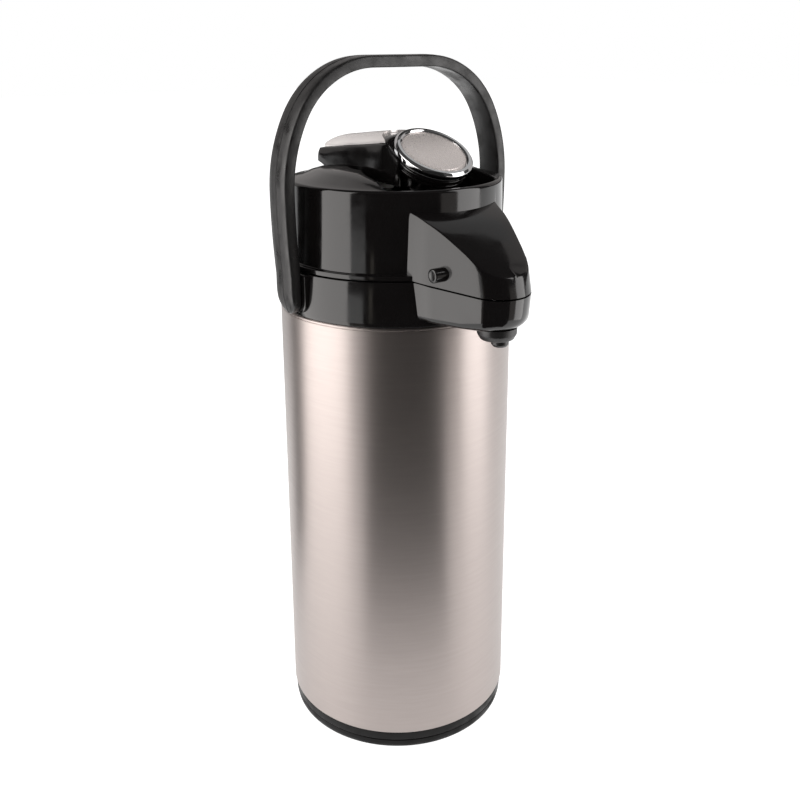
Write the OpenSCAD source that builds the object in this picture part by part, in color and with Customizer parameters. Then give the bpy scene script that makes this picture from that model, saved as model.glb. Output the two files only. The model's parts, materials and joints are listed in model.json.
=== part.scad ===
// Lever airpot: a vacuum flask with a hinged pump lid, a press lever, a spout
// hood, a swing handle and a turning stand. The spout points to -Y, +Z is up.
// The origin is on the body's axis, at the surface that the pot stands on.

/* [Body] */
// Outside diameter of the steel body
body_d = 160; // [133:1:192]
// Height of the steel body
shell_h = 297; // [240:1:360]
// Height of the black base, stand included
base_h = 13.2; // [12:0.2:18]
// Thickness of the steel walls
steel_t = 0.7; // [0.5:0.1:1.2]
// Space between the inner and the outer wall
vacuum_gap = 7; // [5:0.5:10]
// Inside diameter of the neck
neck_d = 74; // [60:1:82]

/* [Collar and lid] */
// Height of the collar
collar_h = 28.8; // [26:0.2:34]
// Height of the lid from the seam to its rim
lid_h = 55.2; // [52:0.2:62]
// Thickness of the moulded plastic walls
wall = 2.4; // [2:0.1:3]
// How far the lid's wall stands in from the steel body
lid_inset = 6.5; // [6:0.5:9]
// Height of the crown on top of the lid
crown_h = 5; // [3:0.5:7]
// Width of the lever's well at the back
well_w = 54; // [52:1:60]
// Width of the lid's hinge knuckle
knuckle_w = 23; // [18:1:30]

/* [Hood] */
// How far the nose stands out from the wall of the collar
hood_reach = 49; // [44:1:58]
// Width of the hood where it leaves the collar
hood_root_w = 72; // [64:1:76]
// Height of the hood's top edge above the seam at the lid
hood_rise = 44.5; // [40:0.5:48]
// Depth of the hood below the seam
hood_drop = 25; // [23:0.5:27]
// Outside diameter of the outlet ring
outlet_d = 25; // [22:0.5:28]
// Outside diameter of the outlet tip
tip_d = 11; // [10:0.5:13]
// Outside diameter of the delivery pipe
pipe_d = 8; // [7:0.5:9]
// Diameter of the release buttons
button_d = 9; // [7:0.5:10]

/* [Lever] */
// Width of the paddle at its top
lever_w = 47; // [42:1:50]
// Outside diameter of the head's bezel
head_d = 52.6; // [48:0.2:54]
// Tilt of the head towards the front
head_tilt = 30; // [24:1:34]
// Diameter of the hinge and lever pins
pin_d = 4; // [3:0.5:4.5]

/* [Handle] */
// Height of the handle's top above its pivots
bail_rise = 149.8; // [146:0.2:170]
// Width of the handle's strap
bail_w = 21; // [17:0.5:24]
// Thickness of the handle's strap
bail_t = 8; // [6:0.5:9]
// Diameter of the handle's pivot studs
stud_d = 10; // [8:0.5:12]

/* [Fits] */
// Radial clearance of a turning fit
running = 0.05; // [0.03:0.01:0.08]
// Gap between parts that move past each other
gap = 0.4; // [0.3:0.05:0.6]

/* [Hidden] */
$fn = 96;
eps = 0.01;
black = [0.04, 0.04, 0.045];
steel = [0.74, 0.71, 0.69];
bright = [0.86, 0.86, 0.88];
rubber = [0.12, 0.12, 0.12];
milky = [0.85, 0.85, 0.82];

// Levels and radii of the flask
body_r = body_d / 2;
shell_r = body_r - steel_t;
shell_z0 = base_h;
shell_z1 = base_h + shell_h;
pad_t = 1.5;
plate_top = 6;
cup_bottom = plate_top + gap;
web_z = 8;
web_t = 2.5;
bottom_z = base_h + 5.8;
boss_r = 4.5;
cup_screw_at = 45;
cup_screw_r = 2;
cup_screw_angles = [30, 150, 270];
liner_r = shell_r - vacuum_gap;
liner_z0 = bottom_z + 8;
liner_corner = 14;
neck_r = neck_d / 2;
neck_out = neck_r + steel_t;
shoulder_z = shell_z1 - 8;
shoulder_drop = 18;
lip_z = shell_z1 + 15.8;
lip_r = neck_r + 4;

// Levels and radii of the collar and the lid
collar_z0 = shell_z1 + 0.3;
collar_z1 = collar_z0 + collar_h;
collar_top_r = body_r - 2;
deck_t = 2.5;
head_z0 = lip_z + 1.2;
head_z1 = head_z0 + 10;
pipe_z = (head_z0 + head_z1) / 2;
pipe_r = pipe_d / 2;
lid_z0 = collar_z1 + gap;
lid_z1 = lid_z0 + lid_h;
flange_r = body_r - 3;
flange_h = 3.2;
lid_r = body_r - lid_inset;
lid_rim_r = lid_r - 0.8;
lid_in_r = lid_rim_r - wall;
lid_base_t = 2.5;
lid_screw_angles = [-20, 50, 130, 200];
lid_base_z = lid_z0 + 0.5;
crown_z = lid_z1 + crown_h;

// The lid's hinge
hinge_y = collar_top_r + 5;
hinge_z = collar_z1 + 0.7;
knuckle_r = 4.5;
pin_r = pin_d / 2;
ear_w = 6.5;
ear_x = knuckle_w / 2 + gap;

// The lever's well and the pump under it
well_r = lid_in_r;
deck_z = lid_z1 - 9;
pit_z = lid_z1 - 28.3;
pit_y = -18;
bellows_r = 28;
pump_y = pit_y + wall + gap + bellows_r + 0.4;
bellows_z0 = lid_base_z + lid_base_t + 2;
bellows_z1 = bellows_z0 + 31;
post_r = 7;
valve_r = 0.69 * (neck_r - 5 - pump_y);

// The lever
pivot_y = lid_r - 23.5;
pivot_z = lid_z1 + 5.2;
tail_y = pivot_y + 10;
head_y = -(lid_r - 29.5);
head_z = lid_z1 + 20.2;
head_r = head_d / 2;
disc_r = head_r - 4.6;
cup_r = head_r - 1.6;
foot_r = 5;
foot_z = lid_z1 + 3.2;
post_top = foot_z - foot_r - gap;
foot_top = lid_z1 + 22.2 - wall - 6.6 * (pump_y + foot_r) / (pivot_y - 17);

// The hood
nose_y = -(collar_top_r + hood_reach);
root_y = -(body_r - 16);
root_hw = hood_root_w / 2;
nose_r = 21;
nose_side_r = 9;
hood_z0 = collar_z1 - hood_drop;
crest_y = -(lid_r - 10);
outlet_y = nose_y + 16;
outlet_ring_y = outlet_y + 3;
bend_r = 9;
button_y = -(body_r + 10);
button_z = lid_z0 + 7.7;
button_r1 = button_d / 2;
button_tip = root_hw + 0.6;
flange_x = root_hw - 12.6 - wall;
flange_hr = 5.5;
throat_r = tip_d / 2 + 3.5;

// The handle
pivot_bail_z = collar_z0 + 14.5;
bail_in = body_r + 1.1;
pad_x = bail_in - gap;
pad_in = body_r - 4;
pad_hw = 14;
pad_corner = 8;
pad_low = pivot_bail_z - 12;
bail_top = pivot_bail_z + bail_rise;
stud_r = stud_d / 2;
bore_in = body_r - 7;
arc1_r = 64;
arc2_r = 106.5;
arc3_r = 594;
arc_split = 27;
bail_wide = body_r + 11.2;
arc1_x = bail_wide - arc2_r + (arc2_r - arc1_r) * cos(arc_split);
arc1_z = bail_top - arc1_r;
arc2_x = bail_wide - arc2_r;
arc2_z = arc1_z - (arc2_r - arc1_r) * sin(arc_split);
arc3_x = bail_wide - arc3_r;
arm_bend = 5.2;

// An arc of points about c, from angle a0 to a1
function arc(c, r, a0, a1, n = 12) =
    [for (i = [0:n]) c + r * [cos(a0 + (a1 - a0) * i / n), sin(a0 + (a1 - a0) * i / n)]];

// A list of points mirrored about the vertical axis, in reverse order
function mirrored(p) = [for (i = [len(p) - 1:-1:0]) [-p[i][0], p[i][1]]];

module rod(r, z0, z1) {
    translate([0, 0, z0]) cylinder(r = r, h = z1 - z0);
}

module ring(r_out, r_in, z0, z1) {
    difference() {
        rod(r_out, z0, z1);
        rod(r_in, z0 - 1, z1 + 1);
    }
}

// A rod along X from x0 to x1
module rod_x(r, x0, x1) {
    translate([x0, 0, 0]) rotate([0, 90, 0]) cylinder(r = r, h = x1 - x0);
}

// A rod along Y from y0 to y1
module rod_y(r, y0, y1) {
    translate([0, y0, 0]) rotate([-90, 0, 0]) cylinder(r = r, h = y1 - y0);
}

// An outline in Y and Z, extruded along X from x0 to x1
module side_plate(points, x0, x1) {
    translate([x0, 0, 0]) rotate([90, 0, 90]) linear_extrude(x1 - x0) polygon(points);
}

// A pan-head screw pointing down, with its head's seat at z = 0
module screw(r, length, head_r, head_h) {
    difference() {
        union() {
            rod(head_r, 0, head_h);
            rod(r, -length, eps);
        }
        translate([-head_r, -0.5, head_h * 0.5]) cube([2 * head_r, 1, head_h]);
    }
}

// A round wire wound into a helix about Z, as one closed solid
module coil(r, wire_r, turns, length, per_turn = 16, sides = 8) {
    steps = turns * per_turn;
    points = [for (i = [0:steps]) let (a = 360 * i / per_turn, z = length * i / steps)
        for (j = [0:sides - 1]) let (b = 360 * j / sides, q = r + wire_r * cos(b))
            [q * cos(a), q * sin(a), z + wire_r * sin(b)]];
    skin = [for (i = [0:steps - 1]) for (j = [0:sides - 1])
        let (k = (j + 1) % sides)
            [i * sides + j, i * sides + k, (i + 1) * sides + k, (i + 1) * sides + j]];
    first = [for (j = [sides - 1:-1:0]) j];
    last = [for (j = [0:sides - 1]) steps * sides + j];
    polyhedron(points = points, faces = concat([first], skin, [last]));
}

// ---- Stand ----

module base_pad() {
    color(rubber) rod(body_r - 8.3, 0, pad_t);
}

module base_plate() {
    r = body_r - 2;
    color(black)
        difference() {
            rotate_extrude()
                polygon(concat([[0, pad_t], [body_r - 8, pad_t], [body_r - 8, 0.4]],
                    arc([r - 4, 4.4], 4, -90, 0, 8), [[r, plate_top], [0, plate_top]]));
            rod(6, pad_t - 1, plate_top + 1);
            rod(9, pad_t - 1, pad_t + 2);
            ring(body_r * 0.8, body_r * 0.8 - 6, plate_top - 0.8, plate_top + 1);
        }
}

module slip_ring() {
    color(milky) ring(body_r * 0.8 - 0.1, body_r * 0.8 - 5.9, plate_top - 0.8, web_z - 0.35);
}

module swivel_bolt() {
    top = web_z + web_t + gap;
    color(steel)
        difference() {
            union() {
                rod(6, pad_t, top + eps);
                rod(9, pad_t, pad_t + 2);
                rod(9, top, top + 2.2);
            }
            rod(2.5, top + 1, top + 4);
        }
}

// ---- Flask ----

module base_cup() {
    r = body_r - 0.7;
    color(black)
        difference() {
            rotate_extrude()
                polygon([[6 + running, web_z], [r - 6, web_z], [r - 4, cup_bottom],
                    [r - 0.4, cup_bottom], [r, cup_bottom + 0.6], [r, base_h],
                    [shell_r - 0.2, base_h], [shell_r - 0.2, base_h + 3], [shell_r - 2.2, base_h + 3],
                    [shell_r - 3.2, web_z + web_t], [6 + running, web_z + web_t]]);
            for (a = cup_screw_angles)
                rotate(a) translate([cup_screw_at, 0, 0]) rod(cup_screw_r + 0.2, 0, 20);
        }
}

module cup_screws() {
    color(steel)
        for (a = cup_screw_angles)
            rotate(a) translate([cup_screw_at, 0, web_z]) mirror([0, 0, 1])
                screw(cup_screw_r, bottom_z - web_z - 1, 3.6, 1.4);
}

module outer_shell() {
    color(steel)
        rotate_extrude()
            polygon([[shell_r, shell_z0], [body_r, shell_z0], [body_r, shell_z1 - 0.5],
                [body_r - 0.5, shell_z1], [neck_out, shell_z1], [neck_out, shell_z1 - steel_t],
                [shell_r, shell_z1 - steel_t]]);
}

module shell_bottom() {
    color(steel)
        difference() {
            union() {
                rod(shell_r, bottom_z, bottom_z + steel_t);
                for (a = cup_screw_angles)
                    rotate(a) translate([cup_screw_at, 0, 0]) rod(boss_r, web_z + web_t, bottom_z + eps);
            }
            for (a = cup_screw_angles)
                rotate(a) translate([cup_screw_at, 0, 0]) rod(cup_screw_r, web_z, bottom_z - 0.8);
        }
}

module vacuum_seal() {
    color(steel) rod(8, bottom_z - 1.5, bottom_z);
}

// Half outline of the inner bottle, grown by g
function liner_outline(g) = concat([[0, liner_z0 - g]],
    arc([liner_r - liner_corner, liner_z0 + liner_corner], liner_corner + g, -90, 0, 8),
    arc([liner_r - liner_corner, shoulder_z - shoulder_drop], liner_corner + g, 0, 70, 8),
    [[neck_r + g, shoulder_z + g]]);

module inner_liner() {
    color(steel)
        difference() {
            union() {
                rotate_extrude()
                    polygon(concat(liner_outline(steel_t), [[0, shoulder_z + steel_t]]));
                rod(neck_out, shoulder_z - 1, lip_z);
                rod(lip_r, lip_z - steel_t, lip_z);
            }
            rotate_extrude() polygon(concat(liner_outline(0), [[0, shoulder_z]]));
            rod(neck_r, shoulder_z - 1, lip_z + 1);
        }
}

// Rounded outline of the hood at one level: its root, its sides and its nose
module hood_level(z, inset, back = 0) {
    translate([-root_hw + inset, root_y, z]) cube([2 * (root_hw - inset), 8 + back, eps]);
    for (s = [-1, 1])
        translate([s * (nose_r + 1.5 - nose_side_r), nose_y + 24, z])
            cylinder(r = nose_side_r - inset, h = eps, $fn = 32);
    translate([0, nose_y + nose_r, z]) cylinder(r = nose_r - inset, h = eps, $fn = 48);
}

module hood_lower(inset, z_top, z_low) {
    hull() {
        hood_level(z_top, inset);
        hood_level(z_low + 7, inset + 0.6);
        hood_level(z_low, inset + 6);
    }
}

// The upper hood narrows to its crest and slopes down to the nose
module hood_upper(inset) {
    hull() {
        hood_level(lid_z0, inset, 3);
        hood_level(lid_z0 + 7 - inset, inset + 0.4);
        for (s = [-1, 1], p = [[33.5, 0, 0], [26.5, 28, -13], [19.5, 50, -27]])
            translate([s * (p[0] * root_hw / 36 - 2 - inset), crest_y - p[1],
                lid_z0 + hood_rise + p[2] - 2 - inset])
                sphere(r = 2, $fn = 16);
    }
}

// Boss and pad that carry one end of the handle, on the +X side
module bail_pad() {
    translate([0, 0, pivot_bail_z]) rod_x(10, bore_in, body_r - 2);
    intersection() {
        translate([pad_in, -pad_hw, collar_z0]) cube([pad_x - pad_in, 2 * pad_hw, collar_z1 - collar_z0]);
        union() {
            translate([pad_in, -pad_hw, pad_low + pad_corner]) cube([20, 2 * pad_hw, 40]);
            for (s = [-1, 1])
                translate([0, s * (pad_hw - pad_corner), pad_low + pad_corner])
                    rod_x(pad_corner, pad_in, body_r + 9);
            translate([pad_in, pad_corner - pad_hw, pad_low])
                cube([20, 2 * (pad_hw - pad_corner), pad_corner]);
        }
    }
}

module hinge_ear(x0, x1) {
    translate([0, hinge_y, hinge_z]) rod_x(knuckle_r, x0, x1);
    side_plate([[hinge_y - 10, collar_z1 - 16], [hinge_y - 5, collar_z1 - 16],
        [hinge_y + knuckle_r, hinge_z], [hinge_y - 10, hinge_z - 1]], x0, x1);
}

module collar() {
    color(black)
        difference() {
            union() {
                rotate_extrude()
                    polygon([[neck_out + gap, collar_z0], [body_r, collar_z0], [body_r, collar_z0 + 3],
                        [collar_top_r + 0.3, collar_z1 - 0.8], [collar_top_r - 0.3, collar_z1],
                        [collar_top_r - 3, collar_z1], [body_r - 3, collar_z0 + deck_t],
                        [neck_out + gap, collar_z0 + deck_t]]);
                difference() {
                    hood_lower(0, collar_z1, hood_z0);
                    hood_lower(wall, collar_z1 + 1, hood_z0 + wall);
                    rod(body_r - 3, 0, collar_z1 + 1);
                }
                for (s = [0, 1])
                    mirror([s, 0, 0]) bail_pad();
                hinge_ear(ear_x, ear_x + ear_w);
                hinge_ear(-ear_x - ear_w, -ear_x);
                for (s = [-1, 1])
                    translate([s * 27.6 - 2.8, button_y - 3, lid_z0 - 3.4]) cube([5.6, 6, 2.5]);
            }
            // Way through the collar's wall into the hood
            translate([-18, -body_r - 1, hood_z0 + wall + 1.5]) cube([36, 12, 40]);
            translate([0, outlet_ring_y, 0]) rod(throat_r, hood_z0 - 1, hood_z0 + wall + 2);
            translate([0, 0, pivot_bail_z]) rod_x(stud_r + running, -body_r - 9, body_r + 9);
            translate([0, hinge_y, hinge_z]) rod_x(pin_r, -30, 30);
            rod(neck_out + gap, collar_z0 - 1, collar_z1);
        }
}

module neck_ring() {
    color(black)
        difference() {
            ring(neck_out + 9, neck_out + 0.2, collar_z0 + deck_t, lip_z - steel_t - 4);
            for (a = [0:30:359])
                rotate(a) translate([neck_out + 9, 0, 0]) rod(1.6, 0, collar_z1);
        }
}

module neck_gasket() {
    color(milky) ring(lip_r, neck_r, lip_z, head_z0);
}

module tube_head() {
    y = -(neck_r - 15);
    color(black)
        difference() {
            union() {
                ring(lip_r, neck_r + 0.2, head_z0, head_z1);
                translate([-7, -lip_r + 1.5, head_z0]) cube([14, lip_r - 1.5 + y, head_z1 - head_z0]);
                translate([0, y, 0]) rod(9, head_z0 - 9, head_z1);
            }
            translate([0, y, 0]) rod(5, 0, head_z0 - 3);
            translate([0, y, 0]) rod(6.3, head_z0 - 3, head_z1 - 2);
            translate([0, 0, pipe_z]) rod_y(pipe_r - 1, -lip_r - 5, y);
            translate([0, 0, pipe_z]) rod_y(pipe_r, -lip_r - 5, -lip_r + 7);
        }
}

module dip_tube() {
    color(steel)
        translate([0, -(neck_r - 15), 0]) ring(5, 4.2, liner_z0 + 8, head_z0 - 3);
}

module valve_ball() {
    color(steel) translate([0, -(neck_r - 15), head_z0 - 3 + 3.4]) sphere(r = 4.8);
}

// The delivery pipe's solid of one radius: forwards, round the bend and down
module pipe_run(r, extra) {
    straight_y = outlet_y + bend_r;
    translate([0, 0, pipe_z]) rod_y(r, straight_y, -lip_r + 7 + extra);
    translate([0, straight_y, pipe_z - bend_r]) rotate([0, -90, 0]) rotate([0, 0, -90])
        rotate_extrude(angle = 90) translate([bend_r, 0]) circle(r = r);
    translate([0, outlet_y, 0]) rod(r, hood_z0 - 5 - extra, pipe_z - bend_r);
}

module delivery_pipe() {
    color(steel)
        difference() {
            pipe_run(pipe_r, 0);
            pipe_run(pipe_r - 1, 1);
        }
}

module nozzle_ring() {
    color(black)
        difference() {
            translate([0, outlet_ring_y, 0])
                rotate_extrude()
                    polygon(concat([[0, hood_z0 - 8]],
                        arc([outlet_d / 2 - 3.5, hood_z0 - 4.5], 3.5, -90, 0, 6),
                        [[outlet_d / 2, hood_z0], [throat_r, hood_z0], [throat_r, hood_z0 + wall + 1.5],
                        [0, hood_z0 + wall + 1.5]]));
            translate([0, outlet_y, 0]) rod(tip_d / 2, 0, collar_z1);
        }
}

module nozzle_tip() {
    color(black)
        translate([0, outlet_y, 0])
            difference() {
                rotate_extrude()
                    polygon([[pipe_r - 1, hood_z0 - 12], [tip_d / 2 - 1, hood_z0 - 12],
                        [tip_d / 2, hood_z0 - 11], [tip_d / 2, hood_z0 + wall + 1.5],
                        [pipe_r - 1, hood_z0 + wall + 1.5]]);
                rod(pipe_r, hood_z0 - 5, collar_z1);
            }
}

module hinge_pin() {
    color(steel)
        translate([0, hinge_y, hinge_z]) {
            rod_x(pin_r, -ear_x - ear_w, ear_x + ear_w + eps);
            rod_x(pin_r + 1.2, ear_x + ear_w, ear_x + ear_w + 1.2);
        }
}

// ---- Handle ----

// Half outline of the handle's arch, set in by g
function arch_side(g) = concat([[0, bail_top - g]],
    arc([arc1_x, arc1_z], arc1_r - g, 90, arc_split, 12),
    arc([arc2_x, arc2_z], arc2_r - g, arc_split, 0, 8),
    arc([arc3_x, arc2_z], arc3_r - g, 0, -arm_bend, 8),
    [[arc3_x + (arc3_r - g) * cos(arm_bend), pivot_bail_z - 30]]);

module bail_handle() {
    end_z = pivot_bail_z - 2.5;
    outline = concat(arch_side(0), mirrored(arch_side(0)));
    inside = concat(arch_side(bail_t), mirrored(arch_side(bail_t)));
    color(black)
        difference() {
            intersection() {
                translate([0, bail_w / 2, 0]) rotate([90, 0, 0]) linear_extrude(bail_w)
                    polygon(outline);
                union() {
                    translate([-200, -bail_w, end_z]) cube([400, 2 * bail_w, 400]);
                    translate([0, 0, end_z]) rod_x(bail_w / 2, -200, 200);
                }
            }
            translate([0, bail_w, 0]) rotate([90, 0, 0]) linear_extrude(2 * bail_w)
                polygon(inside);
            translate([-bail_in, -bail_w, pivot_bail_z - 30])
                cube([2 * bail_in, 2 * bail_w, 90]);
        }
    color(black)
        for (s = [0, 1])
            mirror([s, 0, 0]) translate([0, 0, pivot_bail_z])
                difference() {
                    rod_x(stud_r, bore_in - gap, bail_in + 1.5);
                    rod_x(1.6, bore_in - 1, bail_in - 1);
                }
}

module bail_washers() {
    color(steel)
        for (s = [0, 1])
            mirror([s, 0, 0]) translate([0, 0, pivot_bail_z])
                difference() {
                    rod_x(8.5, bore_in - gap - 0.9, bore_in - gap);
                    rod_x(1.7, 0, body_r);
                }
}

module bail_screws() {
    color(steel)
        for (s = [0, 1])
            mirror([s, 0, 0]) translate([bore_in - gap - 0.9, 0, pivot_bail_z]) rotate([0, -90, 0])
                screw(1.6, 7, 4, 1.8);
}

// ---- Lid ----

// Outline of the lever's well, grown by g: narrow behind, flared to the front
module well_outline(g) {
    w = well_w / 2 + g;
    polygon([[w, tail_y + 3 + g], [w + 1, 17], [w + 14, -31], [w + 19, -54], [w + 19, -200],
        [-w - 19, -200], [-w - 19, -54], [-w - 14, -31], [-w - 1, 17], [-w, tail_y + 3 + g]]);
}

module well(g, deck, pit) {
    intersection() {
        rod(well_r + g, pit, crown_z + 9);
        union() {
            translate([0, 0, deck]) linear_extrude(60) well_outline(g);
            intersection() {
                translate([0, 0, pit]) linear_extrude(80) well_outline(g);
                translate([-200, pit_y + g - 400, pit]) cube([400, 400, 80]);
            }
        }
    }
}

module lid_shell() {
    inner_top = lid_z1 - wall;
    color(black)
        difference() {
            union() {
                difference() {
                    union() {
                        rotate_extrude()
                            polygon(concat([[0, lid_z0], [flange_r, lid_z0],
                                [flange_r, lid_z0 + flange_h - 0.6],
                                [flange_r - 0.6, lid_z0 + flange_h], [lid_r, lid_z0 + flange_h + 0.3]],
                                arc([lid_rim_r - 3, lid_z1 - 3], 3, 0, 75, 6),
                                [[lid_r * 0.6, lid_z1 + crown_h * 0.6], [lid_r * 0.3, crown_z - 0.6],
                                [0, crown_z]]));
                        hood_upper(0);
                    }
                    difference() {
                        union() {
                            rotate_extrude()
                                polygon([[0, lid_z0 - 1], [lid_in_r, lid_z0 - 1],
                                    [lid_in_r, inner_top - 2],
                                    [lid_r * 0.6, inner_top + crown_h * 0.6],
                                    [lid_r * 0.3, crown_z - 0.6 - wall], [0, crown_z - wall]]);
                            difference() {
                                hood_upper(wall);
                                rod(lid_r + 1, lid_z0 + 20, crown_z);
                            }
                        }
                        well(wall, deck_z - wall, pit_z - wall);
                    }
                    well(0, deck_z, pit_z);
                    translate([-60, -200, lid_z0 - 3]) cube([120, 400, 3]);
                }
                // Ears for the lever's pin
                for (s = [-1, 1])
                    translate([s * 15.5 - 2.5, 0, 0]) {
                        translate([0, pivot_y, pivot_z]) rod_x(4, 0, 5);
                        translate([0, pivot_y - 4, deck_z - eps]) cube([5, 8, pivot_z - deck_z]);
                    }
                // Bosses for the lid's screws
                for (a = lid_screw_angles)
                    rotate(a) translate([lid_in_r - 3.4, 0, 0])
                        rod(3.6, lid_base_z + lid_base_t, lid_base_z + 18);
                // Hinge knuckle and its arm
                translate([0, hinge_y, hinge_z]) rod_x(knuckle_r, -knuckle_w / 2, knuckle_w / 2);
                translate([-knuckle_w / 2, lid_r - 1, lid_z0])
                    cube([knuckle_w, hinge_y - lid_r + 1, knuckle_r - 0.5]);
                // Web that backs the button springs and guides the stems
                for (s = [-1, 1])
                    translate([s * 10 - 1, button_y - 6, lid_z0 + 1]) cube([2, 12, 26]);
            }
            translate([0, hinge_y, hinge_z]) rod_x(pin_r + running, -40, 40);
            translate([0, pivot_y, pivot_z]) rod_x(pin_r, -19, 19);
            translate([0, button_y, button_z]) rod_x(2.5 + running, -20, 20);
            for (s = [0, 1])
                mirror([s, 0, 0]) translate([0, button_y, button_z]) rod_x(button_r1 + running, 20, 60);
            for (a = lid_screw_angles)
                rotate(a) translate([lid_in_r - 3.4, 0, 0]) rod(1.5, lid_z0 - 1, lid_base_z + 12);
            translate([0, pump_y, 0]) rod(post_r + 4 * gap, deck_z - 9, deck_z + 5);
        }
}

module lid_base() {
    color(black)
        difference() {
            union() {
                rod(lid_in_r - 0.2, lid_base_z, lid_base_z + lid_base_t);
                translate([0, pump_y, 0])
                    ring(bellows_r + 2, bellows_r - 3, lid_base_z, bellows_z0);
            }
            for (a = [0:60:359])
                translate([0, pump_y, 0]) rotate(a) translate([valve_r - 3, 0, 0]) rod(2, 0, 999);
            translate([0, pump_y, 0]) rod(2, 0, 999);
            for (a = lid_screw_angles)
                rotate(a) translate([lid_in_r - 3.4, 0, 0]) rod(1.7, 0, 999);
        }
}

module lid_seal() {
    color(milky) ring(lip_r - 0.2, neck_r - 5, head_z1 + gap, lid_base_z);
}

module air_valve() {
    color(milky)
        translate([0, pump_y, 0]) {
            rod(valve_r, lid_base_z - 0.8, lid_base_z);
            rod(1.9, lid_base_z - eps, lid_base_z + lid_base_t + 1);
            rod(2.6, lid_base_z + lid_base_t, lid_base_z + lid_base_t + 1.2);
        }
}

module bellows() {
    n = 5;
    step = (bellows_z1 - bellows_z0) / n;
    outer = [for (i = [0:n - 1], k = [0, 1])
        [bellows_r - 1 - 4 * k, bellows_z0 + step * (i + 0.5 * k)]];
    inner = [for (i = [n - 1:-1:0], k = [1, 0])
        [bellows_r - 2.4 - 4 * k, bellows_z0 + step * (i + 0.5 * k)]];
    color(rubber)
        translate([0, pump_y, 0])
            rotate_extrude()
                polygon(concat(outer, [[bellows_r - 1, bellows_z1], [bellows_r - 2.4, bellows_z1]], inner));
}

module bellows_spring() {
    color(steel)
        translate([0, pump_y, lid_base_z + lid_base_t + 1])
            coil(19, 0.9, 6, bellows_z1 - lid_base_z - lid_base_t - 2);
}

module lid_screws() {
    color(steel)
        for (a = lid_screw_angles)
            rotate(a) translate([lid_in_r - 3.4, 0, lid_base_z]) mirror([0, 0, 1])
                screw(1.5, 11, 2.9, 0.4);
}

module lever_pin() {
    color(steel) translate([0, pivot_y, pivot_z]) rod_x(pin_r, -lever_w / 2 + 1, lever_w / 2 - 1);
}

// ---- Pump piston ----

module bellows_plate() {
    color(black)
        translate([0, pump_y, 0])
            difference() {
                rod(bellows_r, bellows_z1, bellows_z1 + 2.2);
                rod(3, 0, 999);
            }
}

module push_post() {
    color(milky)
        translate([0, pump_y, 0]) {
            rod(post_r, bellows_z1 + 2.2, post_top);
            rod(3, bellows_z1, bellows_z1 + 2.3);
        }
}

// ---- Lever ----

// Side outline of the paddle, set in by g, open below when g is positive
function paddle_side(g) = [[tail_y - g, lid_z1 + 5 - 9 * sign(g)], [tail_y - g, lid_z1 + 11.4 - g],
    [tail_y - 3 - g, lid_z1 + 13.2 - g], [pivot_y - 17, lid_z1 + 15.6 - g], [0, lid_z1 + 22.2 - g],
    [head_y + 18, lid_z1 + 27.2 - g], [head_y + 3 + g, lid_z1 + 24 - g],
    [head_y + 3 + g, lid_z1 + 10 - 9 * sign(g)], [8, lid_z1 + 9 - 9 * sign(g)]];

module paddle_plan(g) {
    w = lever_w / 2 - g;
    polygon([[w, tail_y - 4], [w - 3, tail_y - g], [-w + 3, tail_y - g], [-w, tail_y - 4],
        [-w - 1, 0], [-w - 4, head_y + 12], [-w - 3, head_y + 2], [w + 3, head_y + 2],
        [w + 4, head_y + 12], [w + 1, 0]]);
}

// The head's own frame: its centre, tilted down towards the front
module at_head() {
    translate([0, head_y, head_z]) rotate([head_tilt, 0, 0]) children();
}

module lever_shell() {
    color(black)
        difference() {
            union() {
                difference() {
                    intersection() {
                        side_plate(paddle_side(0), -40, 40);
                        translate([0, 0, lid_z1]) linear_extrude(60) paddle_plan(0);
                    }
                    intersection() {
                        side_plate(paddle_side(wall), -40, 40);
                        translate([0, 0, lid_z1 - 20]) linear_extrude(80) paddle_plan(wall);
                    }
                }
                for (s = [-1, 1])
                    translate([s * 20.6 - 1.5, 0, 0]) {
                        translate([0, pivot_y, pivot_z]) rod_x(4.5, 0, 3);
                        translate([0, pivot_y - 4.5, pivot_z]) cube([3, 9, 6.5]);
                    }
            }
            at_head() rod(cup_r + 0.1, -30, 30);
            at_head() rod(head_r + 0.3, -4.4, 30);
            translate([0, pivot_y, pivot_z]) rod_x(pin_r + running, -40, 40);
        }
}

module lever_inlay() {
    w = lever_w / 2 - 1.6;
    top = [[tail_y - 4, lid_z1 + 15], [pivot_y - 17, lid_z1 + 18.4], [0, lid_z1 + 25],
        [head_y + 18, lid_z1 + 30]];
    low = [[head_y + 18, lid_z1 + 27.2], [0, lid_z1 + 22.2], [pivot_y - 17, lid_z1 + 15.6],
        [tail_y - 3, lid_z1 + 13.2]];
    color(bright)
        difference() {
            side_plate(concat(top, low), -w, w);
            at_head() rod(head_r + 0.2, -30, 30);
        }
}

module head_cup() {
    color(black)
        at_head()
            difference() {
                rotate_extrude()
                    polygon([[0, -13], [cup_r - 2, -13], [cup_r - 0.6, -11.6], [cup_r - 0.6, -9.6],
                        [cup_r - 1.4, -9.2], [cup_r - 1.4, -8.4], [cup_r, -8], [cup_r, -5],
                        [cup_r - 3, -5], [cup_r - 3, -3], [cup_r - 4, -3], [cup_r - 4, -10.6], [0, -10.6]]);
                for (s = [-1, 1])
                    translate([s * 12, 0, 0]) rod(1.5, -20, 0);
            }
}

module head_seal() {
    color(rubber) at_head() ring(cup_r - 0.2, cup_r - 3, -5, -4);
}

module head_ring() {
    color(bright)
        at_head()
            rotate_extrude()
                polygon([[disc_r, -2.5], [cup_r - 3, -2.5], [cup_r - 3, -4], [head_r - 0.6, -4],
                    [head_r, -3.2], [head_r, -0.4], [head_r - 1.4, 1], [disc_r + 0.8, 1], [disc_r, 0.2]]);
}

module head_disc() {
    color(steel) at_head() rod(disc_r, -2.5, -0.2);
}

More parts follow.
